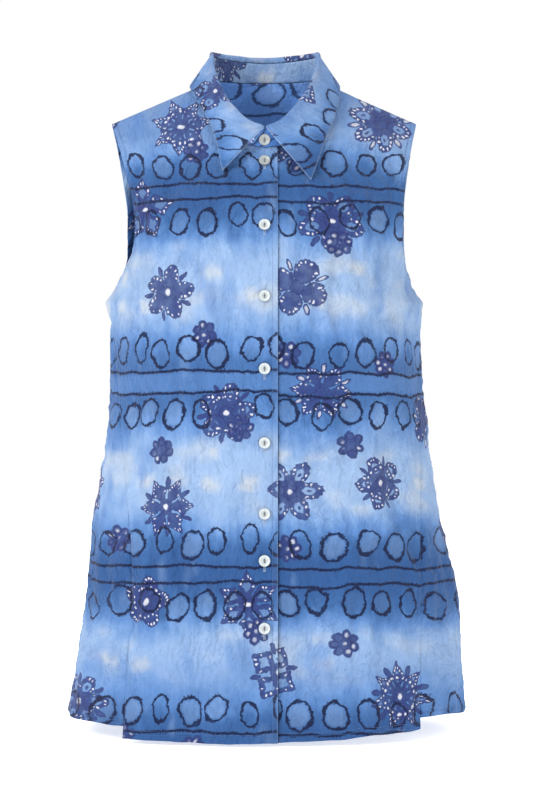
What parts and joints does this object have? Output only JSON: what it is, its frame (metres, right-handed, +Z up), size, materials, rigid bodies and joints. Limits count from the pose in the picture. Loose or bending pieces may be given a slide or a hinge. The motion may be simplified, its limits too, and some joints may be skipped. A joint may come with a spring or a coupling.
{
  "type": "sleeveless button-up shirt, filled out and empty",
  "caption": "Sleeveless collared shirt in printed cotton, buttoned to the neck, hanging filled out with open neck, armholes and hem.",
  "frame": {"origin": "on the garment's centre line, level with the neck ends of the shoulder seams, where the wearer's neck base holds it", "axes": "+Z up toward the collar, -Y out of the front, +X toward the wearer's left"},
  "size_m": [0.4275, 0.2945, 0.7337],
  "materials": {
    "cloth": "thin matt woven cotton, dip-dyed light to deep blue with a printed pattern",
    "button": "satin ivory shirt button, two holes"
  },
  "bodies": {
    "root": {"front_right": "cloth", "front_left": "cloth", "back": "cloth", "collar_stand": "cloth", "collar_fall": "cloth", "button_1": "button", "button_2": "button", "button_3": "button", "button_4": "button", "button_5": "button", "button_6": "button", "button_7": "button", "button_8": "button", "button_9": "button"}
  },
  "joints": []
}
